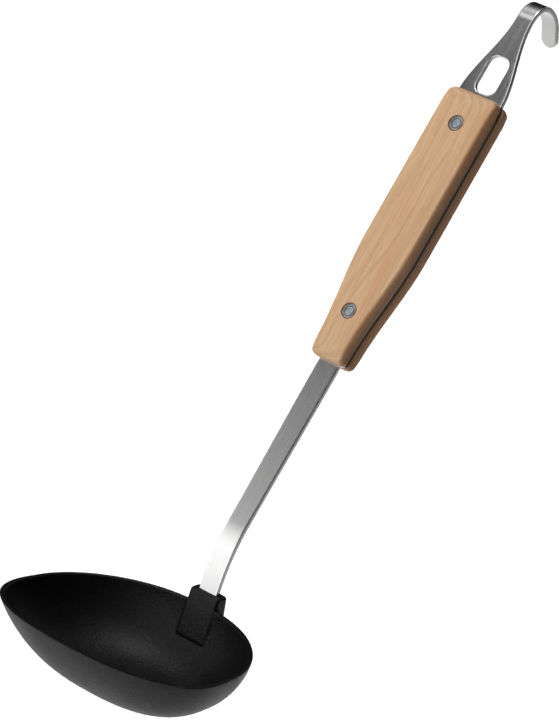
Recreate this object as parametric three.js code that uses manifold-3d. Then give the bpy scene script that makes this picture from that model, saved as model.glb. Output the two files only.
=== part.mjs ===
// A kitchen ladle: a black moulded bowl, one flat steel strip that is bent, slotted and hooked, and a
// wooden handle of two scales riveted through the strip.
//
// Frame: millimetres, the ladle as it is held to serve. +Z is up and the bowl's rim is level, +X runs
// across the strip, and the handle leans back towards +Y. The origin is the top of the hook's inside,
// where the ladle hangs.
import * as THREE from 'three';
import { mergeVertices } from 'three/addons/utils/BufferGeometryUtils.js';
import Module from 'manifold-3d';

const wasm = await Module();
wasm.setup();

// ---------------------------------------------------------------- driving dimensions, mm and degrees

const BOWL = {
  halfWidth: 52.6,
  halfDepth: 38.0,        // from the middle to the back, where the socket is
  height: 27.8,
  wall: 2.0,              // at the rim and the bottom; a little less between them
  roundness: 0.846,       // 1 is an ellipse, less is squarer
  taper: 0.21,            // how much narrower the back is than the front
  floorShift: 3.1,        // the bottom lies this far behind the rim's middle
  sideCurve: 3.4,         // higher is steeper
  innerSideCurve: 4.0,
  floorCurve: 0.8,
  around: 72,
  rings: 12,
};

const STEEL = {
  thickness: 2.0,
  endHalfWidth: 4.6,      // in the socket
  stripHalfWidth: 5.1,    // under the wood
  tangInset: 0.1,         // of the tang's edges from the wood's
  lowerRun: 17.5,         // straight, from the end in the socket to the bend
  bendRadius: 80,
  bendAngle: 17.75,
  cornerHeight: -103.85,  // where the two straights would meet, on the handle's axis from the lower rivet
  neckHalfWidth: 3.8,
  shoulderHalfWidth: 11.2,
  shoulderStart: 97,      // heights on the handle's axis, from the lower rivet
  shoulderEnd: 133,
  hookStart: 133.4,
  rise: { radius: 12, angle: 25, steps: 3 },
  crest: { radius: 6.5, angle: 65, steps: 8 },
  curl: { radius: 14, angle: 45, steps: 5 },
  tipRun: 8.0,
};

const SLOT = { halfWidth: 5.0, bottom: 99.8, top: 116.1, corner: 3.6 };

const WOOD = {
  bottom: -20.5,          // heights on the handle's axis, from the lower rivet
  top: 98.1,
  lowerHalfWidth: 7.9,
  upperHalfWidth: 12.2,
  widenStart: -16,
  widenEnd: 31,
  thickness: 5.2,         // one scale
  edgeRadius: 1.4,
  cornerRadius: 3.0,
  endFall: 2.6,           // how far the outer face drops towards each end
  endRun: 8.0,
};

const RIVET = { pitch: 84, headRadius: 3.1, headDepth: 1.3, barrelRadius: 2.6, pinRadius: 1.8, sides: 24 };

const SOCKET = {
  halfWidth: 7.5,
  edgeRadius: 1.2,
  lean: 14.5,             // of its front face, back from upright
  top: 5.3,               // heights are from the rim
  bottom: -14.5,
  frontAtTop: 36.7,       // distances back from the bowl's middle
  backAtTop: 42.4,
  bottomDepth: 3.6,
  bossBottom: -9.5,
};

const LEAN = 33.25;             // of the handle, back from upright
const GRIP_BACK = 100.98;       // the lower rivet: behind the bowl's middle, and above its rim
const GRIP_UP = 108.24;
const GAP = 0.25;               // between pieces that touch

const rad = THREE.MathUtils.degToRad;
const smooth = THREE.MathUtils.smoothstep;

// ---------------------------------------------------------------- solids

// A closed geometry from points and triangles.
function closedGeometry(points, triangles) {
  const geometry = new THREE.BufferGeometry();
  geometry.setAttribute('position', new THREE.Float32BufferAttribute(points.flat(), 3));
  geometry.setIndex(triangles.flat());
  return geometry;
}

function toManifold(geometry) {
  const bare = geometry.clone();
  bare.deleteAttribute('normal');
  bare.deleteAttribute('uv');
  const merged = mergeVertices(bare, 1e-5);
  return new wasm.Manifold(new wasm.Mesh({
    numProp: 3,
    vertProperties: new Float32Array(merged.attributes.position.array),
    triVerts: new Uint32Array(merged.index.array),
  }));
}

function toGeometry(solid) {
  const mesh = solid.getMesh();
  const geometry = new THREE.BufferGeometry();
  geometry.setAttribute('position', new THREE.Float32BufferAttribute(mesh.vertProperties, 3));
  geometry.setIndex(Array.from(mesh.triVerts));
  return geometry;
}

// A skin over rings of equal length, with both ends closed by a fan.
function loft(rings) {
  const count = rings[0].length;
  const points = rings.flat();
  const triangles = [];
  for (let ring = 0; ring < rings.length - 1; ring += 1) {
    for (let i = 0; i < count; i += 1) {
      const a = ring * count + i;
      const b = ring * count + ((i + 1) % count);
      triangles.push([a, b, b + count], [a, b + count, a + count]);
    }
  }
  const last = (rings.length - 1) * count;
  for (let i = 1; i < count - 1; i += 1) {
    triangles.push([0, i + 1, i], [last, last + i, last + i + 1]);
  }
  return closedGeometry(points, triangles);
}

// A round bar along Y, from one depth to another.
function bar(radius, from, to, height) {
  const geometry = new THREE.CylinderGeometry(radius, radius, to - from, RIVET.sides);
  geometry.translate(0, (from + to) / 2, height);
  return toManifold(geometry);
}

// ---------------------------------------------------------------- bowl

// One level ring of the bowl's shape, inset from its outside, counter-clockwise from above. scale is 1
// at the rim and 0 at the middle.
function bowlRing(inset, sideCurve, scale) {
  const halfWidth = BOWL.halfWidth - inset;
  const halfDepth = BOWL.halfDepth - inset;
  const depth = (BOWL.height - inset) * (1 - scale ** sideCurve) ** BOWL.floorCurve;
  const sunk = depth / BOWL.height;
  const taper = BOWL.taper * (1 - sunk / 2);
  const ring = [];
  for (let i = 0; i < BOWL.around; i += 1) {
    const angle = (i * 2 * Math.PI) / BOWL.around;
    const across = Math.sign(Math.cos(angle)) * Math.abs(Math.cos(angle)) ** BOWL.roundness;
    const back = Math.sign(Math.sin(angle)) * Math.abs(Math.sin(angle)) ** BOWL.roundness;
    ring.push([
      halfWidth * scale * across * (1 - taper * Math.sin(angle)),
      halfDepth * scale * back + BOWL.floorShift * sunk,
      -depth,
    ]);
  }
  return ring;
}

function bowlShell() {
  const innermost = 0.06;
  const scales = [];
  for (let i = 0; i <= BOWL.rings; i += 1) {
    scales.push(innermost + (1 - innermost) * Math.sin((i / BOWL.rings) * (Math.PI / 2)));
  }
  const outer = scales.map((scale) => bowlRing(0, BOWL.sideCurve, scale));
  const inner = scales.map((scale) => bowlRing(BOWL.wall, BOWL.innerSideCurve, scale)).reverse();
  return toManifold(loft([...outer, ...inner]));
}

// The socket's side view, drawn as (back, up), extruded across and rounded on every edge.
function socketBlock() {
  const slope = Math.tan(rad(SOCKET.lean));
  const frontAtBottom = SOCKET.frontAtTop - (SOCKET.top - SOCKET.bottom) * slope;
  const side = new THREE.Shape();
  side.moveTo(SOCKET.frontAtTop, SOCKET.top);
  side.lineTo(frontAtBottom, SOCKET.bottom);
  side.lineTo(frontAtBottom + SOCKET.bottomDepth, SOCKET.bottom);
  side.quadraticCurveTo(SOCKET.backAtTop, SOCKET.bossBottom, SOCKET.backAtTop, SOCKET.bossBottom / 3);
  side.lineTo(SOCKET.backAtTop, SOCKET.top);
  side.closePath();
  const geometry = new THREE.ExtrudeGeometry(side, {
    depth: 2 * (SOCKET.halfWidth - SOCKET.edgeRadius),
    curveSegments: 6,
    bevelThickness: SOCKET.edgeRadius,
    bevelSize: SOCKET.edgeRadius,
    bevelOffset: -SOCKET.edgeRadius,
    bevelSegments: 3,
  });
  geometry.translate(0, 0, SOCKET.edgeRadius - SOCKET.halfWidth);
  // The drawing's axes (right, up, out) become the frame's (back, up, across).
  geometry.applyMatrix4(new THREE.Matrix4().set(
    0, 0, 1, 0,
    1, 0, 0, 0,
    0, 1, 0, 0,
    0, 0, 0, 1));
  return toManifold(geometry);
}

// ---------------------------------------------------------------- wooden scales' outline

// Half the wood's width at a height on the handle's axis, with its rounded corners.
function woodHalfWidth(up) {
  const { lowerHalfWidth, upperHalfWidth, widenStart, widenEnd, cornerRadius } = WOOD;
  const full = lowerHalfWidth + (upperHalfWidth - lowerHalfWidth) * smooth(up, widenStart, widenEnd);
  const fromEnd = Math.min(up - WOOD.bottom, WOOD.top - up);
  const short = Math.max(cornerRadius - fromEnd, 0);
  return full - cornerRadius + Math.sqrt(Math.max(cornerRadius ** 2 - short ** 2, 0));
}

// Heights that follow a piece of the wood: close together near the ends, where it is rounded.
function woodHeights() {
  const nearEnd = [0, 0.25, 0.9, 1.9, 3, 5, 8];
  const middle = 14;
  const heights = nearEnd.map((distance) => WOOD.bottom + distance);
  const start = WOOD.bottom + WOOD.endRun;
  const end = WOOD.top - WOOD.endRun;
  for (let i = 1; i < middle; i += 1) {
    heights.push(start + ((end - start) * i) / middle);
  }
  return [...heights, ...nearEnd.map((distance) => WOOD.top - distance).reverse()];
}

// ---------------------------------------------------------------- steel

// Half the strip's width at a height on the handle's straight axis.
function steelHalfWidth(up) {
  const { stripHalfWidth, shoulderHalfWidth, neckHalfWidth, shoulderStart, shoulderEnd } = STEEL;
  if (up < WOOD.bottom) {
    return stripHalfWidth;
  }
  const tang = woodHalfWidth(Math.min(up, WOOD.top - WOOD.cornerRadius)) - STEEL.tangInset;
  const narrowing = smooth(up, shoulderStart - 2 * WOOD.cornerRadius, shoulderStart);
  const joined = tang + (shoulderHalfWidth - tang) * narrowing;
  const above = (neckHalfWidth - shoulderHalfWidth) * smooth(up, shoulderStart, shoulderEnd);
  return Math.max(joined + above, Math.min(stripHalfWidth, neckHalfWidth));
}

// The arcs of the hook, each going on from the last: centre, radius, and the heading at both ends.
function hookArcs() {
  let back = 0;
  let up = STEEL.hookStart;
  let from = 0;
  return [STEEL.rise, STEEL.crest, STEEL.curl].map(({ radius, angle, steps }) => {
    const to = from + rad(angle);
    const centreBack = back + radius * Math.cos(from);
    const centreUp = up - radius * Math.sin(from);
    const arc = { centreBack, centreUp, radius, from, to, steps };
    back = centreBack - radius * Math.cos(to);
    up = centreUp + radius * Math.sin(to);
    from = to;
    return arc;
  });
}

// Stations along the strip's middle, from its end in the socket to the hook's tip: distance back from
// the handle's axis, height on that axis, heading, and half the width there. extra lengthens the end.
function stripStations(extra) {
  const bend = rad(STEEL.bendAngle);
  const bendTangent = STEEL.bendRadius * Math.tan(bend / 2);
  const below = STEEL.lowerRun + bendTangent + extra;
  const straightStart = STEEL.cornerHeight + bendTangent;
  const stations = [];
  const add = (back, up, heading, halfWidth) => stations.push({ back, up, heading, halfWidth });
  const { endHalfWidth, stripHalfWidth } = STEEL;
  // Turns about a centre that lies on the back side.
  const addArc = ({ centreBack, centreUp, radius, from, to, steps }) => {
    for (let i = 1; i <= steps; i += 1) {
      const heading = from + ((to - from) * i) / steps;
      const back = centreBack - radius * Math.cos(heading);
      add(back, centreUp + radius * Math.sin(heading), heading, steelHalfWidth(STEEL.shoulderEnd));
    }
  };

  add(below * Math.sin(bend), STEEL.cornerHeight - below * Math.cos(bend), -bend, endHalfWidth);
  const bendSteps = 6;
  for (let i = 0; i <= bendSteps; i += 1) {
    const heading = -bend * (1 - i / bendSteps);
    const back = STEEL.bendRadius * (1 - Math.cos(heading));
    add(back, straightStart + STEEL.bendRadius * Math.sin(heading), heading, endHalfWidth);
  }
  add(0, WOOD.bottom - 1, 0, stripHalfWidth);

  const shoulderSteps = 12;
  const straight = woodHeights().filter((up) => up < STEEL.shoulderStart);
  for (let i = 0; i <= shoulderSteps; i += 1) {
    straight.push(STEEL.shoulderStart + ((STEEL.shoulderEnd - STEEL.shoulderStart) * i) / shoulderSteps);
  }
  straight.push(STEEL.hookStart);
  for (const up of straight) {
    add(0, up, 0, steelHalfWidth(up));
  }

  hookArcs().forEach(addArc);

  const { back: endBack, up: endUp, heading: end } = stations.at(-1);
  const roundStart = STEEL.tipRun - STEEL.neckHalfWidth;
  const tipSteps = 8;
  for (let i = 0; i <= tipSteps; i += 1) {
    // Quarter-circle spacing, so that the round tip's facets are even.
    const angle = (i / tipSteps) * rad(85);
    const run = roundStart + STEEL.neckHalfWidth * Math.sin(angle);
    const halfWidth = STEEL.neckHalfWidth * Math.cos(angle);
    add(endBack + run * Math.sin(end), endUp + run * Math.cos(end), end, halfWidth);
  }
  return stations;
}

// The strip as a solid, grown by extra on every side but the tip's.
function stripSolid(extra) {
  const half = STEEL.thickness / 2 + extra;
  const rings = stripStations(extra).map(({ back, up, heading, halfWidth }) => {
    const x = halfWidth + extra;
    const outBack = half * Math.cos(heading);
    const outUp = -half * Math.sin(heading);
    return [
      [-x, back - outBack, up - outUp],
      [x, back - outBack, up - outUp],
      [x, back + outBack, up + outUp],
      [-x, back + outBack, up + outUp],
    ];
  });
  return toManifold(loft(rings));
}

function slotCutter() {
  const { halfWidth, bottom, top, corner } = SLOT;
  const outline = new THREE.Shape();
  outline.moveTo(-halfWidth, bottom + corner);
  outline.absarc(-halfWidth + corner, bottom + corner, corner, Math.PI, 1.5 * Math.PI);
  outline.absarc(halfWidth - corner, bottom + corner, corner, 1.5 * Math.PI, 2 * Math.PI);
  outline.absarc(halfWidth - corner, top - corner, corner, 0, 0.5 * Math.PI);
  outline.absarc(-halfWidth + corner, top - corner, corner, 0.5 * Math.PI, Math.PI);
  const depth = 3 * STEEL.thickness;
  const geometry = new THREE.ExtrudeGeometry(outline, { depth, curveSegments: 6, bevelEnabled: false });
  // The outline's up becomes the handle's, and its depth runs forward.
  geometry.rotateX(Math.PI / 2);
  geometry.translate(0, depth / 2, 0);
  return toManifold(geometry);
}

function shaftGeometry() {
  const half = STEEL.thickness;
  let solid = stripSolid(0).subtract(slotCutter());
  for (const height of [0, RIVET.pitch]) {
    solid = solid.subtract(bar(RIVET.barrelRadius + GAP, -half, half, height));
  }
  return toGeometry(solid);
}

// ---------------------------------------------------------------- wooden scales

// One scale. side is -1 for the front and 1 for the back.
function scaleGeometry(side) {
  const { thickness, edgeRadius, endFall, endRun } = WOOD;
  const inner = STEEL.thickness / 2 + GAP;
  const corners = 5;
  const rings = woodHeights().map((up) => {
    const halfWidth = woodHalfWidth(up);
    const fromEnd = Math.min(up - WOOD.bottom, WOOD.top - up, endRun);
    const left = 1 - fromEnd / endRun;
    const outer = inner + thickness - endFall * (1 - Math.sqrt(1 - left ** 2 * 0.98));
    const ring = [[-halfWidth, side * inner, up]];
    for (const [sign, first] of [[-1, Math.PI], [1, Math.PI / 2]]) {
      for (let i = 0; i <= corners; i += 1) {
        const angle = first - (i / corners) * (Math.PI / 2);
        const x = sign * (halfWidth - edgeRadius) + edgeRadius * Math.cos(angle);
        const y = outer - edgeRadius + edgeRadius * Math.sin(angle);
        ring.push([x, side * y, up]);
      }
    }
    ring.push([halfWidth, side * inner, up]);
    return side < 0 ? ring : ring.reverse();
  });
  let solid = toManifold(loft(rings));
  const face = inner + thickness;
  const ends = (from, to) => (side < 0 ? [-to, -from] : [from, to]);
  for (const height of [0, RIVET.pitch]) {
    solid = solid.subtract(bar(RIVET.barrelRadius + GAP, ...ends(0, face + 1), height));
    solid = solid.subtract(bar(RIVET.headRadius + GAP, ...ends(face - RIVET.headDepth - GAP, face + 1), height));
  }
  return toGeometry(solid);
}

// ---------------------------------------------------------------- rivets

const faceDepth = STEEL.thickness / 2 + GAP + WOOD.thickness;

// The hollow half, put in from the front, with its head flush with the wood.
function barrelGeometry(height) {
  const end = faceDepth - RIVET.headDepth - GAP;
  const head = bar(RIVET.headRadius, -faceDepth, RIVET.headDepth - faceDepth, height);
  const tube = bar(RIVET.barrelRadius, -faceDepth, end, height);
  const hole = bar(RIVET.pinRadius + GAP, -faceDepth - 1, end + 1, height);
  return toGeometry(head.add(tube).subtract(hole));
}

// The solid half, put in from the back. Its end shows in the middle of the front head.
function pinGeometry(height) {
  const head = bar(RIVET.headRadius, faceDepth - RIVET.headDepth, faceDepth, height);
  const shank = bar(RIVET.pinRadius, -faceDepth, faceDepth, height);
  return toGeometry(head.add(shank));
}

// ---------------------------------------------------------------- assembly

function piece(name, geometry, color, roughness, metalness) {
  const mesh = new THREE.Mesh(geometry, new THREE.MeshStandardMaterial({ color, roughness, metalness }));
  mesh.name = name;
  return mesh;
}

// Everything on the handle's axis: +Z runs up the handle and +Y is its back.
const handle = new THREE.Group();
handle.position.set(0, GRIP_BACK, GRIP_UP);
handle.rotation.x = -rad(LEAN);
handle.updateMatrix();

function bowlGeometry() {
  const pocket = stripSolid(GAP).transform(handle.matrix.elements);
  return toGeometry(bowlShell().add(socketBlock()).subtract(pocket));
}

handle.add(piece('shaft', shaftGeometry(), 0x9a9894, 0.35, 1));
handle.add(piece('front_scale', scaleGeometry(-1), 0xcba880, 0.6, 0));
handle.add(piece('back_scale', scaleGeometry(1), 0xcba880, 0.6, 0));
for (const [place, height] of [['lower', 0], ['upper', RIVET.pitch]]) {
  handle.add(piece(`${place}_rivet_barrel`, barrelGeometry(height), 0x6b6a68, 0.4, 1));
  handle.add(piece(`${place}_rivet_pin`, pinGeometry(height), 0x8d9399, 0.35, 1));
}

// The hook's inside is highest where its crest is level.
const crest = hookArcs()[1];
const crestInside = crest.radius - STEEL.thickness / 2;
const hang = new THREE.Vector3(
  0,
  crest.centreBack - crestInside * Math.sin(rad(LEAN)),
  crest.centreUp + crestInside * Math.cos(rad(LEAN)),
).applyMatrix4(handle.matrix);

const ladle = new THREE.Group();
ladle.add(piece('bowl', bowlGeometry(), 0x1c1c1c, 0.7, 0));
ladle.add(handle);
ladle.position.copy(hang).negate();

export default ladle;
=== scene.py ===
"""The looks of a kitchen ladle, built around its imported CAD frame.

The frame is in metres with +Z up: the bowl's rim is level and the handle leans back towards +Y. The bowl
is built in its own coordinates, millimetres from the middle of its rim. The strip, the wood and the
rivets are built in the handle's: millimetres across (X), back (Y) and up the handle (Z) from the lower
rivet. Both sets of coordinates are found from the frame's boxes.
"""
import math

import bmesh
import bpy
import numpy as np
from mathutils import Matrix, Vector


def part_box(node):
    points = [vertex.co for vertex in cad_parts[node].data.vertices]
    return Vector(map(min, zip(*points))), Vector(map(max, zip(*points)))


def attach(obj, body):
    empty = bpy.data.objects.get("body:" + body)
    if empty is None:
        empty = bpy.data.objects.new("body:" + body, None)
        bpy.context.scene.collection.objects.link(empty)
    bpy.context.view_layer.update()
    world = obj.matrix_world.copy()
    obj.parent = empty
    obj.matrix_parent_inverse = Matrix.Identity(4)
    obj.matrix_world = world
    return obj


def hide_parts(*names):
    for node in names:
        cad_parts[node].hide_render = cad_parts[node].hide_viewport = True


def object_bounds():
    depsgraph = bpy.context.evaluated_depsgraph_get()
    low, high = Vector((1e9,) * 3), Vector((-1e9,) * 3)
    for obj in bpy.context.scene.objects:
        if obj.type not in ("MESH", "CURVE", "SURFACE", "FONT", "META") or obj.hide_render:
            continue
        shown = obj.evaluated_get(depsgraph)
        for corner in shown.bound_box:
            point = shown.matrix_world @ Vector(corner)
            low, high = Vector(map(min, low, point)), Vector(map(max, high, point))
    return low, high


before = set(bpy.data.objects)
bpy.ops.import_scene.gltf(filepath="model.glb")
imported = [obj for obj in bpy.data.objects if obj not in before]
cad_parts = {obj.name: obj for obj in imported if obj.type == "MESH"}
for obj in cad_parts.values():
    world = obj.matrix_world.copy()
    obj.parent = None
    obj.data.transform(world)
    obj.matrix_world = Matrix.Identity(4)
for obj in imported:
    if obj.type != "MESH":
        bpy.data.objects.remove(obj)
cad_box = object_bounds()

MM = 0.001

# ---------------------------------------------------------------- driving dimensions: mm, degrees, m as noted

BOWL_HALF_WIDTH = 52.59     # this and the height are 0.01 under the CAD's, to stay inside its box
BOWL_HALF_DEPTH = 38.0
BOWL_HEIGHT = 27.79
BOWL_WALL = 2.0             # at the rim and the bottom; a little less between them
BOWL_ROUNDNESS = 0.846      # 1 is an ellipse, less is squarer
BOWL_TAPER = 0.21           # how much narrower the back is than the front
BOWL_FLOOR_SHIFT = 3.1      # the bottom lies this far behind the rim's middle
BOWL_SIDE_CURVE = 3.4       # higher is steeper
BOWL_INNER_SIDE_CURVE = 4.0
BOWL_FLOOR_CURVE = 0.8
BOWL_POLE = 0.015           # scale of the smallest ring, which one face closes
BOWL_COLUMNS = 200
BOWL_ROWS = 34
RIM_EDGE_RADIUS = 0.5

SOCKET_HALF_WIDTH = 7.5
SOCKET_CORNER = 1.5
SOCKET_TOP = 5.3            # over the rim
SOCKET_BOTTOM = -14.5
SOCKET_FRONT = 36.7         # at its top, back from the bowl's middle
SOCKET_BACK = 42.4
SOCKET_LEAN = 14.5          # of its front face
SOCKET_TOP_RADIUS = 1.1
SOCKET_FOOT_RADIUS = 2.2    # of the two lower corners of its front face
SOCKET_FOOT_TUCK = 0.7      # how much of that rounding its front face takes too
SOCKET_FILLET = 1.2         # where its sides meet the bowl's wall
SOCKET_BACK_CURVE = ((33.0, SOCKET_BOTTOM), (SOCKET_BACK, -11.0), (SOCKET_BACK, -3.0))  # back and height

STRIP_THICKNESS = 2.0
STRIP_EDGE_RADIUS = 0.4
STRIP_COLUMNS = 16
STRIP_END_HALF_WIDTH = 4.6
STRIP_HALF_WIDTH = 5.1
STRIP_LOWER_RUN = 17.5
STRIP_BEND_RADIUS = 80.0
STRIP_BEND_ANGLE = 17.75
STRIP_CORNER_HEIGHT = -103.85
TANG_INSET = 0.3            # of the tang's edges from the wood's
NECK_HALF_WIDTH = 3.8
SHOULDER_HALF_WIDTH = 11.2
SHOULDER_START = 97.0
SHOULDER_END = 133.0
HOOK_START = 133.4
HOOK_TURNS = ((12.0, 25.0), (6.5, 65.0), (14.0, 45.0))     # radius and angle of each arc of the hook
HOOK_TIP_RUN = 8.0

SLOT_HALF_WIDTH = 5.0
SLOT_BOTTOM = 99.8
SLOT_TOP = 116.1
SLOT_CORNER = 3.6
SLOT_FRAME_BELOW = 1.6      # the mesh's plain rows stay this far from the slot
SLOT_FRAME_ABOVE = 1.8

WOOD_BOTTOM = -20.5
WOOD_TOP = 98.1
WOOD_LOWER_HALF_WIDTH = 7.9
WOOD_UPPER_HALF_WIDTH = 12.2
WOOD_WIDEN_START = -16.0
WOOD_WIDEN_END = 31.0
WOOD_THICKNESS = 5.2
WOOD_EDGE_RADIUS = 1.4
WOOD_CORNER_RADIUS = 3.0
WOOD_LOWER_CORNER_RADIUS = 2.2
WOOD_END_FALL = 2.6         # how much thinner each end is
WOOD_END_RUN = 8.0
WOOD_END_ROUNDNESS = 0.98   # 1 would end upright
WOOD_END_SOFTENING = 0.45
RING_SLOPE = 0.22           # how much the growth rings lie across the wood, not with its faces
SEAM_SHADE_FRONT = -0.6           # the strip's edge has painted shade behind this depth

RIVET_HEAD_RADIUS = 3.1
RIVET_HEAD_DEPTH = 1.3
RIVET_HEAD_EDGE = 0.45
RIVET_PIN_RADIUS = 1.8
RIVET_PIN_GAP = 0.12        # round the pin's end, in the barrel's head
RIVET_PIN_SEAT = 0.8        # under the face
RIVET_GAP = 0.22            # round the heads, in the wood
BORE_CHAMFER = 0.15
GLUE_GAP = 0.25

LIGHT_DISTANCE = 1.6        # m
SOFTBOX_SIZE = 0.9          # m
FLOOR_DROP = 0.25           # m, under the ladle, which hangs
FLOOR_HALF_SIZE = 20        # m
FLOOR_GLOW = 0.2            # lifts the floor where the lights don't reach it

CAMERA_AZIMUTH = 39.63
CAMERA_ELEVATION = 20.37
CAMERA_ROLL = 9.13
CAMERA_DISTANCE = 1.854     # m
CAMERA_AIM = Vector((-0.0138, -0.0019, -0.0092))    # m, from the ladle's middle
CAMERA_LENS = 241

# ---------------------------------------------------------------- places, from the frame


def joined_box(*nodes):
    boxes = [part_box(node) for node in nodes]
    low = Vector([min(box[0][i] for box in boxes) for i in range(3)])
    high = Vector([max(box[1][i] for box in boxes) for i in range(3)])
    return low, high


def rivet_centre(place):
    low, high = joined_box(f"{place}_rivet_barrel", f"{place}_rivet_pin")
    return (low + high) / 2


def handle_matrix():
    """From the handle's coordinates, in metres, to the frame's."""
    lower, upper = rivet_centre("lower"), rivet_centre("upper")
    up = (upper - lower).normalized()
    across = Vector((1, 0, 0))
    back = up.cross(across)
    axes = Matrix((across, back, up)).transposed().to_4x4()
    return Matrix.Translation(lower) @ axes


def bowl_matrix():
    """From the bowl's coordinates, in metres, to the frame's."""
    low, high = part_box("bowl")
    return Matrix.Translation((0, low.y + BOWL_HALF_DEPTH * MM, high.z - SOCKET_TOP * MM))


HANDLE = handle_matrix()
BOWL = bowl_matrix()
RIVET_PITCH = (rivet_centre("upper") - rivet_centre("lower")).length
RIVET_SPOTS = {"lower": HANDLE, "upper": HANDLE @ Matrix.Translation((0, 0, RIVET_PITCH))}
FACE = STRIP_THICKNESS / 2 + GLUE_GAP + WOOD_THICKNESS     # the wood's outer face, from the strip's middle

# ---------------------------------------------------------------- mesh helpers


def smoothstep(value, start, end):
    share = min(max((value - start) / (end - start), 0), 1)
    return share * share * (3 - 2 * share)


def mesh_object(name, points_mm, faces, matrix):
    """An object whose mesh is in the frame, from points in mm and the matrix of their coordinates."""
    mesh = bpy.data.meshes.new(name)
    mesh.from_pydata([matrix @ (Vector(point) * MM) for point in points_mm], [], faces)
    mesh.update()
    piece = bpy.data.objects.new(name, mesh)
    bpy.context.scene.collection.objects.link(piece)
    return piece


def ring_faces(rings, count):
    """Quads between rings of count points each, with the first and last ring closed by one face."""
    faces = []
    for ring in range(rings - 1):
        for i in range(count):
            a = ring * count + i
            b = ring * count + (i + 1) % count
            faces.append((a, b, b + count, a + count))
    last = (rings - 1) * count
    faces.append(tuple(reversed(range(count))))
    faces.append(tuple(range(last, last + count)))
    return faces


def loft(name, rings, matrix):
    points = [point for ring in rings for point in ring]
    return mesh_object(name, points, ring_faces(len(rings), len(rings[0])), matrix)


def apply_modifiers(piece):
    graph = bpy.context.evaluated_depsgraph_get()
    mesh = bpy.data.meshes.new_from_object(piece.evaluated_get(graph))
    piece.modifiers.clear()
    piece.data = mesh


def cut_or_join(piece, other, operation):
    """A boolean of two pieces, applied; the other one is removed."""
    boolean = piece.modifiers.new(operation, "BOOLEAN")
    boolean.operation = operation
    boolean.solver = "EXACT"
    boolean.object = other
    apply_modifiers(piece)
    bpy.data.objects.remove(other)


def face_outwards(piece):
    body = bmesh.new()
    body.from_mesh(piece.data)
    bmesh.ops.recalc_face_normals(body, faces=body.faces)
    body.to_mesh(piece.data)
    body.free()


def smooth_shade(piece, sharp_degrees):
    piece.data.polygons.foreach_set("use_smooth", [True] * len(piece.data.polygons))
    piece.data.set_sharp_from_angle(angle=math.radians(sharp_degrees))


def finish_piece(piece, material, slot, *nodes):
    piece.data.materials.clear()
    piece.data.materials.append(material)
    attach(piece, "root")
    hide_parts(*nodes)


def turned(name, profile, matrix, sides=72):
    """A solid of revolution about local Y from (radius, y) points, starting and ending on the axis."""
    points = []
    for radius, y in profile[1:-1]:
        for i in range(sides):
            angle = 2 * math.pi * i / sides
            points.append((radius * math.cos(angle), y, radius * math.sin(angle)))
    rows = len(profile) - 2
    faces = []
    for row in range(rows - 1):
        for i in range(sides):
            a, b = row * sides + i, row * sides + (i + 1) % sides
            faces.append((a, b, b + sides, a + sides))
    start, end = len(points), len(points) + 1
    points += [(0, profile[0][1], 0), (0, profile[-1][1], 0)]
    last = (rows - 1) * sides
    for i in range(sides):
        following = (i + 1) % sides
        faces.append((start, following, i))
        faces.append((end, last + i, last + following))
    return mesh_object(name, points, faces, matrix)


def arc(centre, radius, start, end, steps):
    """Points on an arc, both ends included, angles in degrees."""
    return [
        (centre[0] + radius * math.cos(a), centre[1] + radius * math.sin(a))
        for a in np.radians(np.linspace(start, end, steps + 1))
    ]


# ---------------------------------------------------------------- bowl


def bowl_ring(inset, curve, scale):
    """One level ring of the bowl's shape, inset from its outside."""
    depth = (BOWL_HEIGHT - inset) * (1 - scale ** curve) ** BOWL_FLOOR_CURVE
    sunk = depth / BOWL_HEIGHT
    taper = BOWL_TAPER * (1 - sunk / 2)
    ring = []
    for column in range(BOWL_COLUMNS):
        angle = 2 * math.pi * column / BOWL_COLUMNS
        across = math.copysign(abs(math.cos(angle)) ** BOWL_ROUNDNESS, math.cos(angle))
        back = math.copysign(abs(math.sin(angle)) ** BOWL_ROUNDNESS, math.sin(angle))
        ring.append((
            (BOWL_HALF_WIDTH - inset) * scale * across * (1 - taper * math.sin(angle)),
            (BOWL_HALF_DEPTH - inset) * scale * back + BOWL_FLOOR_SHIFT * sunk,
            -depth,
        ))
    return ring


def bowl_scale(depth, height, curve):
    """The ring scale whose depth this is, in a shape of this height."""
    return (1 - (depth / height) ** (1 / BOWL_FLOOR_CURVE)) ** (1 / curve)


def bowl_shell():
    """The bowl's wall: rings up its outside, over the rim and down its inside."""
    edge = RIM_EDGE_RADIUS

    def wall(inset, curve):
        top = bowl_scale(edge, BOWL_HEIGHT - inset, curve)
        shares = [math.sin(row / BOWL_ROWS * math.pi / 2) for row in range(BOWL_ROWS + 1)]
        return [bowl_ring(inset, curve, BOWL_POLE + (top - BOWL_POLE) * share) for share in shares]

    rim = []
    outer_arc = arc((edge, -edge), edge, 180, 90, 5)
    inner_arc = arc((BOWL_WALL - edge, -edge), edge, 90, 0, 5)
    for inset, z in outer_arc[1:] + inner_arc[:-1]:
        flat = bowl_ring(inset, BOWL_SIDE_CURVE, 1)
        rim.append([(x, y, z) for x, y, _ in flat])
    rings = wall(0, BOWL_SIDE_CURVE) + rim + wall(BOWL_WALL, BOWL_INNER_SIDE_CURVE)[::-1]
    return loft("bowl_moulding", rings, BOWL)


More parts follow.
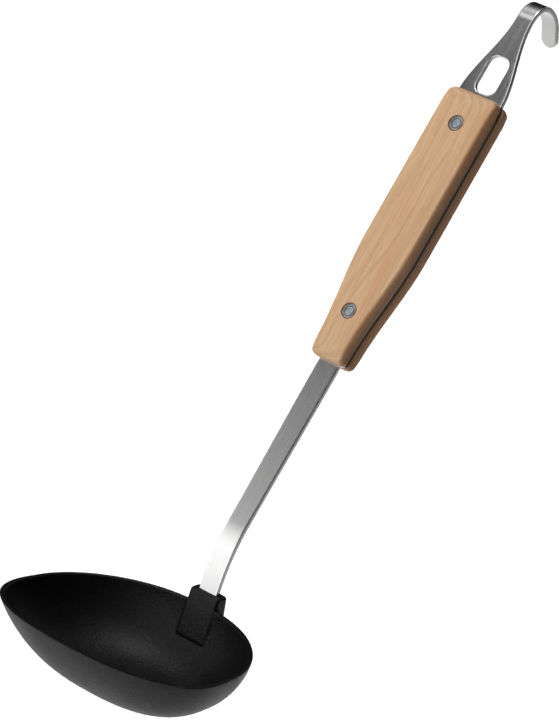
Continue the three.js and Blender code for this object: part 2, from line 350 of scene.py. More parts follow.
def wall_gap(x, y, z, inset, curve):
    """Roughly how far inside the shape of this inset a point lies, level or below the rim."""
    height = BOWL_HEIGHT - inset

    def leftover(px, py, pz):
        depth = min(max(-pz, 0), height * 0.999)
        sunk = depth / BOWL_HEIGHT
        side = abs(px) / (BOWL_HALF_WIDTH - inset)
        back = (py - BOWL_FLOOR_SHIFT * sunk) / (BOWL_HALF_DEPTH - inset)
        power = 2 / BOWL_ROUNDNESS
        spread = 1
        for _ in range(3):
            radius = ((side / spread) ** power + abs(back) ** power) ** (1 / power)
            sine = math.copysign(min(abs(back) / radius, 1) ** (1 / BOWL_ROUNDNESS), back)
            spread = 1 - BOWL_TAPER * (1 - sunk / 2) * sine
        return bowl_scale(depth, height, curve) - radius

    step = 0.05
    here = leftover(x, y, z)
    slope = math.sqrt(
        ((leftover(x + step, y, z) - here) / step) ** 2
        + ((leftover(x, y + step, z) - here) / step) ** 2
        + ((leftover(x, y, z - step) - here) / step) ** 2)
    return here / max(slope, 1e-6)


def shell_distance(x, y, z):
    """How far a point is from the bowl's wall, and 0 in it."""
    level = min(z, 0)
    inside = wall_gap(x, y, level, BOWL_WALL, BOWL_INNER_SIDE_CURVE)
    outside = -wall_gap(x, y, level, 0, BOWL_SIDE_CURVE)
    return math.hypot(max(inside, outside, 0), max(z, 0))


def socket_back(z):
    """The socket's back at a height: upright at the top, curving in to the bowl's wall below."""
    shares = np.linspace(0, 1, 40)
    weights = ((1 - shares) ** 2, 2 * shares * (1 - shares), shares ** 2)
    ys = sum(weight * point[0] for weight, point in zip(weights, SOCKET_BACK_CURVE))
    zs = sum(weight * point[1] for weight, point in zip(weights, SOCKET_BACK_CURVE))
    return float(np.interp(z, zs, ys))


def rounded_outline(half, front, back, corner):
    """Points and facing angles round a rectangle with round corners, half wide each side of X = 0."""
    centres = ((half - corner, front + corner), (half - corner, back - corner),
               (corner - half, back - corner), (corner - half, front + corner))
    arcs = [arc(centre, corner, start, start + 90, 8) for centre, start in zip(centres, (-90, 0, 90, 180))]
    outline = []
    for index, points in enumerate(arcs):
        start = -90 + 90 * index
        outline += [(x, y, start + 90 * step / 8) for step, (x, y) in enumerate(points)]
        end, target = points[-1], arcs[(index + 1) % 4][0]
        for share in np.linspace(0, 1, 16)[1:-1]:
            x = end[0] + (target[0] - end[0]) * share
            y = end[1] + (target[1] - end[1]) * share
            outline.append((x, y, start + 90))
    return outline


def socket_block():
    """Level rounded sections from the bottom up. Their sides flare to a fillet where they meet the wall."""
    slope = math.tan(math.radians(SOCKET_LEAN))
    rounding = SOCKET_TOP_RADIUS
    foot = SOCKET_FOOT_RADIUS
    levels = [(SOCKET_BOTTOM + foot * (1 - math.cos(a)), 0) for a in np.radians(np.linspace(4, 90, 14))]
    levels += [(z, 0) for z in np.linspace(SOCKET_BOTTOM + foot, SOCKET_TOP - rounding, 50)[1:]]
    levels += [
        (SOCKET_TOP - rounding + rounding * math.sin(a), rounding * (1 - math.cos(a)))
        for a in np.radians(np.linspace(11, 90, 9))
    ]
    rings = []
    for z, inset in levels:
        short = max(SOCKET_BOTTOM + foot - z, 0)
        tucked = foot - math.sqrt(foot ** 2 - short ** 2)
        front = SOCKET_FRONT - (SOCKET_TOP - z) * slope + inset + SOCKET_FOOT_TUCK * tucked
        back = max(socket_back(z) - inset, front + 0.6)
        half = SOCKET_HALF_WIDTH - inset - tucked
        corner = min(SOCKET_CORNER, (back - front) / 2 - 0.05)
        ring = []
        for x, y, angle in rounded_outline(half, front, back, corner):
            near = max(SOCKET_FILLET - shell_distance(x, y, z), 0)
            flare = SOCKET_FILLET - math.sqrt(SOCKET_FILLET ** 2 - near ** 2)
            ring.append((x + flare * math.cos(math.radians(angle)), y, z))
        rings.append(ring)
    return loft("socket_block", rings, BOWL)


def build_bowl():
    bowl = bowl_shell()
    face_outwards(bowl)
    socket = socket_block()
    face_outwards(socket)
    cut_or_join(bowl, socket, "UNION")
    smooth_shade(bowl, 50)
    return bowl


# ---------------------------------------------------------------- wood


def wood_half_width(up):
    widening = smoothstep(up, WOOD_WIDEN_START, WOOD_WIDEN_END)
    full = WOOD_LOWER_HALF_WIDTH + (WOOD_UPPER_HALF_WIDTH - WOOD_LOWER_HALF_WIDTH) * widening
    lower = up - WOOD_BOTTOM < WOOD_TOP - up
    from_end = up - WOOD_BOTTOM if lower else WOOD_TOP - up
    radius = WOOD_LOWER_CORNER_RADIUS if lower else WOOD_CORNER_RADIUS
    short = max(radius - from_end, 0)
    return full - radius + math.sqrt(max(radius ** 2 - short ** 2, 0))


def wood_ring(up, side, inset):
    half = wood_half_width(up) - inset
    from_end = min(up - WOOD_BOTTOM, WOOD_TOP - up, WOOD_END_RUN)
    left = 1 - from_end / WOOD_END_RUN
    fall = WOOD_END_FALL * (1 - math.sqrt(1 - WOOD_END_ROUNDNESS * left ** 2))
    inner = STRIP_THICKNESS / 2 + GLUE_GAP
    outer = FACE - fall - inset
    edge = min(WOOD_EDGE_RADIUS, outer - inner - 0.2)
    ring = [(-half, side * inner)]
    ring += [(x, side * y) for x, y in arc((edge - half, outer - edge), edge, 180, 90, 10)]
    ring += [(x, side * y) for x, y in arc((half - edge, outer - edge), edge, 90, 0, 10)]
    ring += [(half, side * inner)]
    return [(x, y, up) for x, y in ring]


def build_scale(name, side):
    """A wooden handle half, side -1 in front and 1 at the back, with bores for the rivets' heads."""
    soft = WOOD_END_SOFTENING
    heights = set()
    for radius, count in ((WOOD_END_RUN, 19), (WOOD_CORNER_RADIUS, 11)):
        heights |= {round(radius * (1 - math.sin(a)), 3) for a in np.radians(np.linspace(0, 90, count))}
    near_end = sorted(distance for distance in heights if distance > soft)
    angles = np.radians(np.linspace(90, 0, 6))
    rounding = [(soft * (1 - math.sin(a)), soft * (1 - math.cos(a))) for a in angles]
    first = [(WOOD_BOTTOM + distance, inset) for distance, inset in rounding] + [
        (WOOD_BOTTOM + distance, 0) for distance in near_end]
    last = [(WOOD_TOP - distance, inset) for distance, inset in rounding] + [
        (WOOD_TOP - distance, 0) for distance in near_end]
    middle = np.linspace(WOOD_BOTTOM + WOOD_END_RUN, WOOD_TOP - WOOD_END_RUN, 60)[1:-1]
    stations = first + [(up, 0) for up in middle] + last[::-1]
    scale = loft(name, [wood_ring(up, side, inset) for up, inset in stations], HANDLE)
    face_outwards(scale)
    radius = RIVET_HEAD_RADIUS + RIVET_GAP
    floor = FACE - RIVET_HEAD_DEPTH - 2 * RIVET_GAP
    profile = [(0, FACE + 1), (radius + BORE_CHAMFER + 1, FACE + 1), (radius, FACE - BORE_CHAMFER),
               (radius, floor), (0, floor)]
    for spot in RIVET_SPOTS.values():
        bore = turned("bore", [(r, side * y) for r, y in profile], spot)
        face_outwards(bore)
        cut_or_join(scale, bore, "DIFFERENCE")
    smooth_shade(scale, 35)
    return scale


# ---------------------------------------------------------------- steel strip


def steel_half_width(up):
    """Half the strip's width at a height: tapered below the wood, inset in it, shouldered above."""
    if up < WOOD_BOTTOM:
        share = smoothstep(up, STRIP_CORNER_HEIGHT, WOOD_BOTTOM - 1)
        return STRIP_END_HALF_WIDTH + (STRIP_HALF_WIDTH - STRIP_END_HALF_WIDTH) * share
    tang = wood_half_width(min(up, WOOD_TOP - WOOD_CORNER_RADIUS)) - TANG_INSET
    narrowing = smoothstep(up, SHOULDER_START - 2 * WOOD_CORNER_RADIUS, SHOULDER_START)
    joined = tang + (SHOULDER_HALF_WIDTH - tang) * narrowing
    above = (NECK_HALF_WIDTH - SHOULDER_HALF_WIDTH) * smoothstep(up, SHOULDER_START, SHOULDER_END)
    return max(joined + above, NECK_HALF_WIDTH)


def strip_path():
    """Stations along the strip's middle: length so far, back, up, heading, half width."""
    bend = math.radians(STRIP_BEND_ANGLE)
    tangent = STRIP_BEND_RADIUS * math.tan(bend / 2)
    below = STRIP_LOWER_RUN + tangent
    stations = []
    length = 0.0

    def add(back, up, heading, half):
        nonlocal length
        if stations:
            length += math.hypot(back - stations[-1][1], up - stations[-1][2])
        stations.append((length, back, up, heading, half))

    for share in np.linspace(0, 1, 8)[:-1]:
        run = below - share * STRIP_LOWER_RUN
        add(run * math.sin(bend), STRIP_CORNER_HEIGHT - run * math.cos(bend), -bend, STRIP_END_HALF_WIDTH)
    start = STRIP_CORNER_HEIGHT + tangent
    for share in np.linspace(0, 1, 22):
        heading = -bend * (1 - share)
        up = start + STRIP_BEND_RADIUS * math.sin(heading)
        add(STRIP_BEND_RADIUS * (1 - math.cos(heading)), up, heading, steel_half_width(up))
    # Closer stations where the width changes most.
    ups = list(np.arange(start + 3, WOOD_BOTTOM - 0.5, 3.0)) + [WOOD_BOTTOM - 0.2]
    ups += list(np.arange(WOOD_BOTTOM, WOOD_BOTTOM + 4, 0.5)) + list(np.arange(WOOD_BOTTOM + 4, 97, 2.0))
    ups += list(np.arange(98, HOOK_START, 0.9)) + [HOOK_START]
    for up in ups:
        add(0, up, 0, steel_half_width(up))
    heading = 0.0
    back, up = 0.0, HOOK_START
    for radius, angle in HOOK_TURNS:
        centre = (back + radius * math.cos(heading), up - radius * math.sin(heading))
        turn = math.radians(angle)
        for share in np.linspace(0, 1, 25)[1:]:
            now = heading + turn * share
            add(centre[0] - radius * math.cos(now), centre[1] + radius * math.sin(now), now, NECK_HALF_WIDTH)
        heading += turn
        _, back, up, _, _ = stations[-1]
    straight = HOOK_TIP_RUN - NECK_HALF_WIDTH
    for share in np.linspace(0, 1, 5)[1:]:
        run = straight * share
        add(back + run * math.sin(heading), up + run * math.cos(heading), heading, NECK_HALF_WIDTH)
    return stations


def on_strip(station, x, depth, beyond=0.0):
    """A point across the strip at a station, at a depth behind its middle and beyond it along the heading."""
    _, back, up, heading, _ = station
    return (
        x,
        back + depth * math.cos(heading) + beyond * math.sin(heading),
        up - depth * math.sin(heading) + beyond * math.cos(heading),
    )


def slot_edge(direction, inset):
    """How far the slot's edge is from its middle in a direction (x, z). inset widens the slot."""
    corner = SLOT_CORNER + inset
    flat_x = SLOT_HALF_WIDTH - SLOT_CORNER
    flat_z = (SLOT_TOP - SLOT_BOTTOM) / 2 - SLOT_CORNER
    near, far = 0.0, flat_x + flat_z + 2 * corner
    for _ in range(40):
        reach = (near + far) / 2
        x = abs(direction[0]) * reach - flat_x
        z = abs(direction[1]) * reach - flat_z
        outside = math.hypot(max(x, 0), max(z, 0)) + min(max(x, z), 0) > corner
        near, far = (near, reach) if outside else (reach, far)
    return near


def strip_layer(path, inset, depth):
    """One surface of the strip, its edges inset: points, quads, and the loops of its edge and its slot."""
    points, faces = [], []

    def add_row(row):
        points.extend(row)
        return list(range(len(points) - len(row), len(points)))

    def bridge(first, second):
        for i in range(len(first) - 1):
            faces.append((first[i], first[i + 1], second[i + 1], second[i]))

    shares = np.linspace(-1, 1, STRIP_COLUMNS + 1)
    low, high = SLOT_BOTTOM - SLOT_FRAME_BELOW, SLOT_TOP + SLOT_FRAME_ABOVE
    middle = (SLOT_BOTTOM + SLOT_TOP) / 2
    rows = {}
    flanks = {-1: [], 1: []}
    beside_slot = []
    for index, station in enumerate(path):
        half = station[4] - inset
        first_shift = inset if index == 0 else 0
        if station[1] == 0 and low < station[2] < high:
            beside_slot.append(index)
            for sign in flanks:
                flanks[sign] += add_row([on_strip(station, sign * half, depth)])
        else:
            rows[index] = add_row([on_strip(station, half * share, depth, first_shift) for share in shares])
            if index - 1 in rows:
                bridge(rows[index - 1], rows[index])

    below, above = beside_slot[0] - 1, beside_slot[-1] + 1
    around = rows[below] + flanks[1] + rows[above][::-1] + flanks[-1][::-1]
    previous = around
    for share in (0.3, 0.6, 0.82, 1.0):
        ring = []
        for index in around:
            x, y, up = points[index]
            away = math.hypot(x, up - middle)
            direction = (x / away, (up - middle) / away)
            reach = away + (slot_edge(direction, inset) - away) * share
            ring.append((direction[0] * reach, y, middle + direction[1] * reach))
        current = add_row(ring)
        bridge(previous + previous[:1], current + current[:1])
        previous = current
    slot_loop = previous

    # The tip's half square maps to a half disc.
    tip_rows = [rows[len(path) - 1]]
    radius = NECK_HALF_WIDTH - inset
    for along in np.linspace(0, 1, 10)[1:]:
        row = []
        for share in shares:
            x = share * math.sqrt(1 - along ** 2 / 2)
            beyond = along * math.sqrt(1 - share ** 2 / 2)
            row.append(on_strip(path[-1], x * radius, depth, beyond * radius))
        tip_rows.append(add_row(row))
        bridge(tip_rows[-2], tip_rows[-1])

    right, left = [], []
    for index in range(len(path)):
        if index in rows:
            right.append(rows[index][-1])
            left.append(rows[index][0])
        else:
            right.append(flanks[1][index - beside_slot[0]])
            left.append(flanks[-1][index - beside_slot[0]])
    right += [row[-1] for row in tip_rows[1:]]
    left += [row[0] for row in tip_rows[1:]]
    edge_loop = rows[0] + right[1:] + tip_rows[-1][::-1][1:] + left[::-1][1:-1]
    return points, faces, edge_loop, slot_loop


def strip_mesh(path):
    """Front and back surfaces, joined round the edge and the slot by rounded walls."""
    half, radius = STRIP_THICKNESS / 2, STRIP_EDGE_RADIUS
    front = arc((radius, radius - half), radius, 270, 180, 5)
    back = arc((radius, half - radius), radius, 180, 90, 5)
    points, faces = [], []
    edge_rings, slot_rings = [], []
    walls = front + back
    for number, (inset, depth) in enumerate(walls):
        layer, quads, edge_loop, slot_loop = strip_layer(path, inset, depth)
        if number in (0, len(walls) - 1):
            base = len(points)
            points += layer
            flip = -1 if number == 0 else 1
            faces += [tuple(base + i for i in quad)[::flip] for quad in quads]
            edge_rings.append([base + i for i in edge_loop])
            slot_rings.append([base + i for i in slot_loop])
        else:
            for rings, loop in ((edge_rings, edge_loop), (slot_rings, slot_loop)):
                rings.append(list(range(len(points), len(points) + len(loop))))
                points += [layer[i] for i in loop]
    for rings in (edge_rings, slot_rings):
        for first, second in zip(rings, rings[1:]):
            for i in range(len(first)):
                following = (i + 1) % len(first)
                faces.append((first[i], first[following], second[following], second[i]))
    return points, faces


def lay_strip_map(mesh, path):
    """Gives the strip a UV map of millimetres across and along it."""
    lengths = np.array([station[0] for station in path])
    line = np.array([station[1:3] for station in path]) * MM
    layer = mesh.uv_layers.new(name="strip")
    starts, spans = line[:-1], np.diff(line, axis=0)
    along = []
    spots = [HANDLE.inverted() @ vertex.co for vertex in mesh.vertices]
    for place in spots:
        spot = np.array(place[1:3])
        share = np.clip(((spot - starts) * spans).sum(1) / (spans ** 2).sum(1), 0, 1)
        gaps = ((starts + spans * share[:, None] - spot) ** 2).sum(1)
        nearest = int(gaps.argmin())
        along.append(lengths[nearest] + share[nearest] * (lengths[nearest + 1] - lengths[nearest]))
    for loop in mesh.loops:
        layer.data[loop.index].uv = (spots[loop.vertex_index].x / MM, along[loop.vertex_index])


def build_strip():
    path = strip_path()
    points, faces = strip_mesh(path)
    strip = mesh_object("steel_strip", points, faces, HANDLE)
    face_outwards(strip)
    lay_strip_map(strip.data, path)
    smooth_shade(strip, 40)
    return strip


# ---------------------------------------------------------------- rivets


def rounded_disc(radius, face, dome, edge, low):
    """Half profile of a disc: from its low side out, up and over a rounded edge to a domed face."""
    profile = [(0, low), (radius - 0.1, low), (radius, low + 0.1)]
    profile += arc((radius - edge, face - dome - edge), edge, 0, 78, 6)
    start = profile[-1]
    for share in np.linspace(0, 1, 9)[1:]:
        profile.append((start[0] * (1 - share), start[1] + (face - start[1]) * (1 - (1 - share) ** 2)))
    return profile


def rivet_ring():
    """Half profile of the barrel's ring-shaped head, which the pin's end fills."""
    hole = RIVET_PIN_RADIUS + RIVET_PIN_GAP
    edge = RIVET_HEAD_EDGE
    low = FACE - RIVET_HEAD_DEPTH
    seat = FACE - RIVET_PIN_SEAT
    profile = [(0, low), (RIVET_HEAD_RADIUS - 0.1, low), (RIVET_HEAD_RADIUS, low + 0.1)]
    profile += arc((RIVET_HEAD_RADIUS - edge, FACE - edge - 0.05), edge, 0, 80, 6)
    profile += arc((hole + 0.25, FACE - 0.3), 0.25, 95, 180, 5)
    profile += [(hole, seat), (0, seat)]
    return profile


def build_rivets():
    pieces = []
    for place, spot in RIVET_SPOTS.items():
        ring = turned(f"{place}_rivet_barrel_head", [(r, -y) for r, y in rivet_ring()], spot)
        end = rounded_disc(RIVET_PIN_RADIUS, FACE - 0.05, 0.12, 0.2, FACE - RIVET_PIN_SEAT - 0.1)
        pin_end = turned(f"{place}_rivet_pin_end", [(r, -y) for r, y in end], spot)
        head = rounded_disc(RIVET_HEAD_RADIUS, FACE, 0.2, 0.3, FACE - RIVET_HEAD_DEPTH)
        pin_head = turned(f"{place}_rivet_pin_head", head, spot)
        for piece in (ring, pin_end, pin_head):
            face_outwards(piece)
            smooth_shade(piece, 50)
        pieces.append((place, ring, pin_end, pin_head))
    return pieces


# ---------------------------------------------------------------- materials


def new_material(name, **values):
    """A material whose Principled shader has these values; their names have _ for each space."""
    material = bpy.data.materials.new(name)
    material.use_nodes = True
    shader = material.node_tree.nodes["Principled BSDF"]
    for key, value in values.items():
        shader.inputs[key.replace("_", " ")].default_value = value
    return material, material.node_tree, shader


def add_node(tree, kind, settings=(), inputs=()):
    """A node with its settings, and its inputs as values or as outputs of other nodes."""
    node = tree.nodes.new(kind)
    for key, value in dict(settings).items():
        setattr(node, key, value)
    for key, value in dict(inputs).items():
        if isinstance(value, bpy.types.NodeSocket):
            tree.links.new(value, node.inputs[key])
        else:
            node.inputs[key].default_value = value
    return node


def stretched(tree, source, scale, turn=(0, 0, 0), move=(0, 0, 0)):
    mapping = add_node(tree, "ShaderNodeMapping", inputs={
        "Vector": source, "Scale": scale, "Rotation": turn, "Location": move})
    return mapping.outputs["Vector"]


def noise(tree, vector, detail=2.0, roughness=0.5):
    node = add_node(tree, "ShaderNodeTexNoise", inputs={
        "Vector": vector, "Scale": 1.0, "Detail": detail, "Roughness": roughness})
    return node.outputs["Fac"]


def ranged(tree, value, low, high, new_low, new_high):
    """A value mapped from one range to another, and held at its ends."""
    node = add_node(tree, "ShaderNodeMapRange", inputs={
        "Value": value, "From Min": low, "From Max": high, "To Min": new_low, "To Max": new_high})
    return node.outputs["Result"]


def ramp(tree, value, *stops):
    node = add_node(tree, "ShaderNodeValToRGB", inputs={"Fac": value})
    elements = node.color_ramp.elements
    while len(elements) < len(stops):
        elements.new(0.5)
    for element, (position, color) in zip(elements, stops):
        element.position = position
        element.color = (*color, 1)
    return node.outputs["Color"]


def mixed(tree, factor, first, second, blend="MIX"):
    """Two colours mixed. Inputs 0, 6 and 7 of a Mix node are its factor and its two colours."""
    node = add_node(tree, "ShaderNodeMix", {"data_type": "RGBA", "blend_type": blend})
    for index, value in ((0, factor), (6, first), (7, second)):
        if isinstance(value, bpy.types.NodeSocket):
            tree.links.new(value, node.inputs[index])
        else:
            node.inputs[index].default_value = value
    return node.outputs[2]


def bumped(tree, shader, height, strength, distance):
    node = add_node(tree, "ShaderNodeBump", inputs={
        "Height": height, "Strength": strength, "Distance": distance})
    tree.links.new(node.outputs["Normal"], shader.inputs["Normal"])


def object_coordinates(tree):
    return add_node(tree, "ShaderNodeTexCoord").outputs["Object"]


def handle_coordinates(tree):
    """Places in the handle's coordinates, in metres."""
    mapping = add_node(tree, "ShaderNodeMapping", {"vector_type": "TEXTURE"}, {
        "Vector": object_coordinates(tree), "Location": HANDLE.translation, "Rotation": HANDLE.to_euler()})
    return mapping.outputs["Vector"]


def multiplied(tree, first, *others):
    for other in others:
        first = add_node(tree, "ShaderNodeMath", {"operation": "MULTIPLY"}, {0: first, 1: other}).outputs[0]
    return first


def sideways(tree, low, high):
    """0 where the surface faces along the object's middle plane, 1 where it faces +X or -X."""
    facing = add_node(tree, "ShaderNodeSeparateXYZ", inputs={
        "Vector": add_node(tree, "ShaderNodeTexCoord").outputs["Normal"]})
    amount = add_node(tree, "ShaderNodeMath", {"operation": "ABSOLUTE"}, {0: facing.outputs["X"]})
    return ranged(tree, amount.outputs[0], low, high, 0, 1)


def nylon_material():
    """Black glass-filled nylon with a fine spark-eroded texture."""
    material, tree, shader = new_material("black_nylon", Roughness=0.43, Specular_IOR_Level=0.25)
    place = object_coordinates(tree)
    fine = noise(tree, stretched(tree, place, (1000,) * 3), detail=3, roughness=0.7)
    broad = noise(tree, stretched(tree, place, (60,) * 3), detail=2)
    color = ramp(tree, broad, (0.3, (0.003, 0.003, 0.0031)), (0.7, (0.004, 0.004, 0.0041)))
    tree.links.new(color, shader.inputs["Base Color"])
    tree.links.new(ranged(tree, broad, 0.3, 0.7, 0.40, 0.46), shader.inputs["Roughness"])
    bumped(tree, shader, fine, 0.8, 0.0003)
    return material


def steel_material():
    """Stainless strip with a satin finish, brushed along its length."""
    material, tree, shader = new_material("satin_steel", Metallic=1.0, Roughness=0.26, Anisotropic=0.3)
    tree.nodes.active = shader
    flat = add_node(tree, "ShaderNodeUVMap", {"uv_map": "strip"}).outputs["UV"]
    lines = noise(tree, stretched(tree, flat, (7.0, 0.06, 1)), detail=4, roughness=0.6)
    broad = noise(tree, stretched(tree, flat, (0.5, 0.03, 1)), detail=2)
    color = ramp(tree, lines, (0.25, (0.57, 0.57, 0.565)), (0.75, (0.60, 0.60, 0.595)))
    # Painted shade: the strip's edge is dark in the seam between the wood scales, but for the strip's front
    # corner.
    split = add_node(tree, "ShaderNodeSeparateXYZ", inputs={"Vector": handle_coordinates(tree)})
    behind_corner = ranged(tree, split.outputs["Y"], (SEAM_SHADE_FRONT - 0.1) * MM, (SEAM_SHADE_FRONT + 0.1) * MM, 0, 1)
    above_bottom = ranged(tree, split.outputs["Z"], WOOD_BOTTOM * MM, (WOOD_BOTTOM + 1) * MM, 0, 1)
    below_top = ranged(tree, split.outputs["Z"], (WOOD_TOP - 1) * MM, WOOD_TOP * MM, 1, 0)
    painted_seam_shade = multiplied(tree, sideways(tree, 0.5, 0.8), behind_corner, above_bottom, below_top)
    color = mixed(tree, painted_seam_shade, color, (0.05, 0.028, 0.02, 1))
    tree.links.new(color, shader.inputs["Base Color"])
    rough = add_node(tree, "ShaderNodeMath", {"operation": "ADD"}, {
        0: ranged(tree, lines, 0.25, 0.75, -0.01, 0.015),
        1: ranged(tree, broad, 0.3, 0.7, 0.245, 0.275)})
    tree.links.new(rough.outputs[0], shader.inputs["Roughness"])
    tangent = add_node(tree, "ShaderNodeTangent", {"direction_type": "UV_MAP", "uv_map": "strip"})
    tree.links.new(tangent.outputs["Tangent"], shader.inputs["Tangent"])
    bumped(tree, shader, lines, 0.03, 0.000005)
    return material


def wood_material(name, shift):
    """Light beech: growth rings cut along the grain, fine fibres and short ray flecks.

    The shift, in millimetres, gives each half its own grain.
    """
    material, tree, shader = new_material(name, Roughness=0.5, Specular_IOR_Level=0.35)
    place = handle_coordinates(tree)
    turned_place = stretched(tree, place, (1000,) * 3, turn=(0.012, 0.06, 0), move=shift)
    wander = noise(tree, stretched(tree, turned_place, (0.04, 0.04, 0.009)), detail=2)
    split = add_node(tree, "ShaderNodeSeparateXYZ", inputs={"Vector": turned_place})
    sloped = add_node(tree, "ShaderNodeMath", {"operation": "MULTIPLY_ADD"}, {
        0: split.outputs["X"], 1: RING_SLOPE, 2: split.outputs["Y"]})
    depth = add_node(tree, "ShaderNodeMath", {"operation": "ADD"}, {
        0: sloped.outputs[0], 1: ranged(tree, wander, 0.2, 0.8, -3, 3)})
    rings_place = add_node(tree, "ShaderNodeCombineXYZ", inputs={"X": depth.outputs[0], "Y": 0.0, "Z": 0.0})
    rings = noise(tree, stretched(tree, rings_place.outputs[0], (0.62, 1, 1)), detail=2)
    fibres = noise(tree, stretched(tree, turned_place, (2.6, 2.6, 0.06)), detail=4, roughness=0.65)
    streaks = noise(tree, stretched(tree, turned_place, (0.34, 0.34, 0.012)), detail=2)
    flecks = noise(tree, stretched(tree, turned_place, (2.2, 2.2, 0.5)), detail=1)
    base = ramp(tree, rings, (0.3, (0.55, 0.335, 0.18)), (0.47, (0.655, 0.415, 0.24)),
                (0.56, (0.71, 0.47, 0.285)), (0.7, (0.60, 0.365, 0.20)))
    warm = mixed(tree, ranged(tree, streaks, 0.5, 0.68, 0, 0.75), base, (0.63, 0.33, 0.165, 1))
    fibred = mixed(tree, ranged(tree, fibres, 0.4, 0.7, 0, 0.6), warm, (0.47, 0.275, 0.14, 1))
    flecked = mixed(tree, ranged(tree, flecks, 0.66, 0.76, 0, 0.3), fibred, (0.40, 0.22, 0.10, 1))
    # Painted shade: the sides are darker than the faces, most of all near the strip between the scales.
    plain = add_node(tree, "ShaderNodeSeparateXYZ", inputs={"Vector": place})
    away = add_node(tree, "ShaderNodeMath", {"operation": "ABSOLUTE"}, {0: plain.outputs["Y"]})
    side = ramp(tree, ranged(tree, away.outputs[0], (FACE - WOOD_THICKNESS) * MM, FACE * MM, 0, 1),
                (0.0, (0.52, 0.40, 0.35)), (0.4, (0.70, 0.56, 0.50)), (0.9, (0.95, 0.82, 0.72)))
    side_shade_painted = mixed(tree, sideways(tree, 0.35, 0.9), flecked, side, blend="MULTIPLY")
    tree.links.new(side_shade_painted, shader.inputs["Base Color"])
    tree.links.new(ranged(tree, fibres, 0.3, 0.7, 0.44, 0.58), shader.inputs["Roughness"])
    bumped(tree, shader, fibres, 0.25, 0.00008)
    return material


def rivet_material(name, color, roughness):
    """Dull steel, a little uneven."""
    material, tree, shader = new_material(name, Metallic=1.0, Roughness=roughness)
    place = object_coordinates(tree)
    fine = noise(tree, stretched(tree, place, (900,) * 3), detail=4)
    shades = [tuple(channel * factor for channel in color) for factor in (0.85, 1.1)]
    tree.links.new(ramp(tree, fine, (0.3, shades[0]), (0.7, shades[1])), shader.inputs["Base Color"])
    rough = ranged(tree, fine, 0.3, 0.7, roughness - 0.05, roughness + 0.08)
    tree.links.new(rough, shader.inputs["Roughness"])
    bumped(tree, shader, fine, 0.15, 0.00003)
    return material


# ---------------------------------------------------------------- pieces

finish_piece(build_bowl(), nylon_material(), "bowl_nylon", "bowl")
finish_piece(build_strip(), steel_material(), "strip_steel", "shaft")
for place, side, shift in (("front", -1, (3, 1, 0)), ("back", 1, (31, 17, 50))):
    wood = wood_material(f"beech_{place}", shift)
    finish_piece(build_scale(f"{place}_wood", side), wood, "handle_wood", f"{place}_scale")

barrel_steel = rivet_material("rivet_barrel_steel", (0.30, 0.29, 0.28), 0.42)
pin_steel = rivet_material("rivet_pin_steel", (0.36, 0.41, 0.45), 0.42)
for place, ring, pin_end, pin_head in build_rivets():
    finish_piece(ring, barrel_steel, "rivet_steel", f"{place}_rivet_barrel")
    finish_piece(pin_end, pin_steel, "rivet_steel", f"{place}_rivet_pin")
    finish_piece(pin_head, pin_steel, "rivet_steel", f"{place}_rivet_pin")

# ---------------------------------------------------------------- floor, lights and camera


def build_floor():
    size = FLOOR_HALF_SIZE
    corners = [(-size, -size, 0), (size, -size, 0), (size, size, 0), (-size, size, 0)]
    mesh = bpy.data.meshes.new("floor")
    mesh.from_pydata(corners, [], [(0, 1, 2, 3)])
    floor = bpy.data.objects.new("floor", mesh)
    floor.location = (0, 0, cad_box[0].z - FLOOR_DROP)
    bpy.context.scene.collection.objects.link(floor)
    material, _, _ = new_material(
        "pale_floor", Base_Color=(0.92, 0.92, 0.92, 1), Roughness=0.9,
        Emission_Color=(1, 1, 1, 1), Emission_Strength=FLOOR_GLOW)
    mesh.materials.append(material)


def softbox(name, spot, target, size, energy, spread=180):
    """A square soft light at a spot, facing a target. spread narrows its beam."""
    data = bpy.data.lights.new(name, "AREA")
    data.size = size
    data.energy = energy
    data.spread = math.radians(spread)
    light = bpy.data.objects.new(name, data)
    light.location = spot
    light.rotation_mode = "QUATERNION"
    light.rotation_quaternion = (spot - target).to_track_quat("Z", "Y")
    light.visible_camera = False
    bpy.context.scene.collection.objects.link(light)


def outward(azimuth, elevation):
    """Azimuth 0 is in front, at -Y, and 90 is at +X."""
    a, e = math.radians(azimuth), math.radians(elevation)
    return Vector((math.sin(a) * math.cos(e), -math.cos(a) * math.cos(e), math.sin(e)))


def light_round(name, azimuth, elevation, energy, size=SOFTBOX_SIZE, distance=LIGHT_DISTANCE):
    """A softbox round the object's middle."""
    middle = (cad_box[0] + cad_box[1]) / 2
    softbox(name, middle + outward(azimuth, elevation) * distance, middle, size, energy)


def light_backdrop(name, spot, size, energy, spread):
    """Whitens the floor behind the object with a beam straight down. Some of it reaches the object."""
    softbox(name, spot, spot - Vector((0, 0, 1)), size, energy, spread)


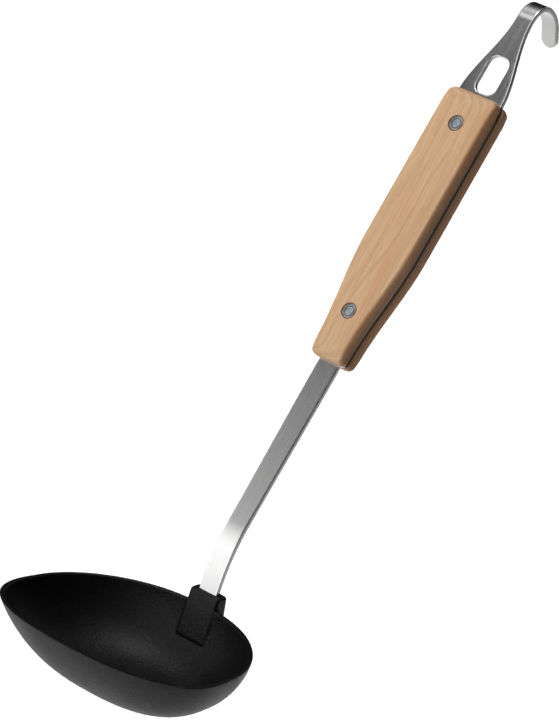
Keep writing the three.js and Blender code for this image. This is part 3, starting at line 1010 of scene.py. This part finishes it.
def build_world():
    """A pale surround past the floor's edge. Only the camera sees it: it doesn't light the object."""
    world = bpy.data.worlds.new("studio")
    world.use_nodes = True
    background = world.node_tree.nodes["Background"]
    background.inputs["Color"].default_value = (1, 1, 1, 1)
    background.inputs["Strength"].default_value = FLOOR_GLOW
    world.cycles_visibility.diffuse = False
    world.cycles_visibility.glossy = False
    bpy.context.scene.world = world


def build_camera():
    aim = (cad_box[0] + cad_box[1]) / 2 + CAMERA_AIM
    away = outward(CAMERA_AZIMUTH, CAMERA_ELEVATION)
    data = bpy.data.cameras.new("camera")
    data.lens = CAMERA_LENS
    data.sensor_width = 36
    camera = bpy.data.objects.new("camera", data)
    camera.rotation_mode = "QUATERNION"
    camera.location = aim + away * CAMERA_DISTANCE
    level = away.to_track_quat("Z", "Y")
    roll = Matrix.Rotation(math.radians(CAMERA_ROLL), 3, "Z").to_quaternion()
    camera.rotation_quaternion = level @ roll
    bpy.context.scene.collection.objects.link(camera)
    bpy.context.scene.camera = camera


build_floor()
build_world()
light_round("front_low", azimuth=-10, elevation=8, energy=6.6)
light_round("right_low", azimuth=20, elevation=8, energy=0.8)
light_round("front_high", azimuth=-10, elevation=62, energy=7.0)
light_round("right_high", azimuth=40, elevation=62, energy=1.0)
light_round("bowl_glint", azimuth=-75, elevation=74, energy=6.8, size=0.42)
light_round("hook_glint", azimuth=-62, elevation=48, energy=0.7, size=0.35)
light_round("left_near", azimuth=-50, elevation=8, energy=1.3, size=0.56, distance=1.0)
light_round("bend_glint", azimuth=-36, elevation=2, energy=0.8, size=0.6, distance=1.0)
light_round("strip_glint", azimuth=-44, elevation=22, energy=0.14, size=0.35, distance=1.0)
light_round("back_fill", azimuth=175, elevation=35, energy=3.0, size=1.2, distance=2.0)
light_backdrop("backdrop_near", Vector((-0.75, 0.8, 0.4)), size=1.3, energy=3.8, spread=70)
light_backdrop("backdrop_far", Vector((-1.2, 1.3, 0.6)), size=1.4, energy=2.6, spread=80)
light_backdrop("backdrop_low", Vector((-0.4, 0.35, 0.3)), size=0.9, energy=0.4, spread=80)
build_camera()
bpy.context.scene.view_settings.view_transform = "Standard"
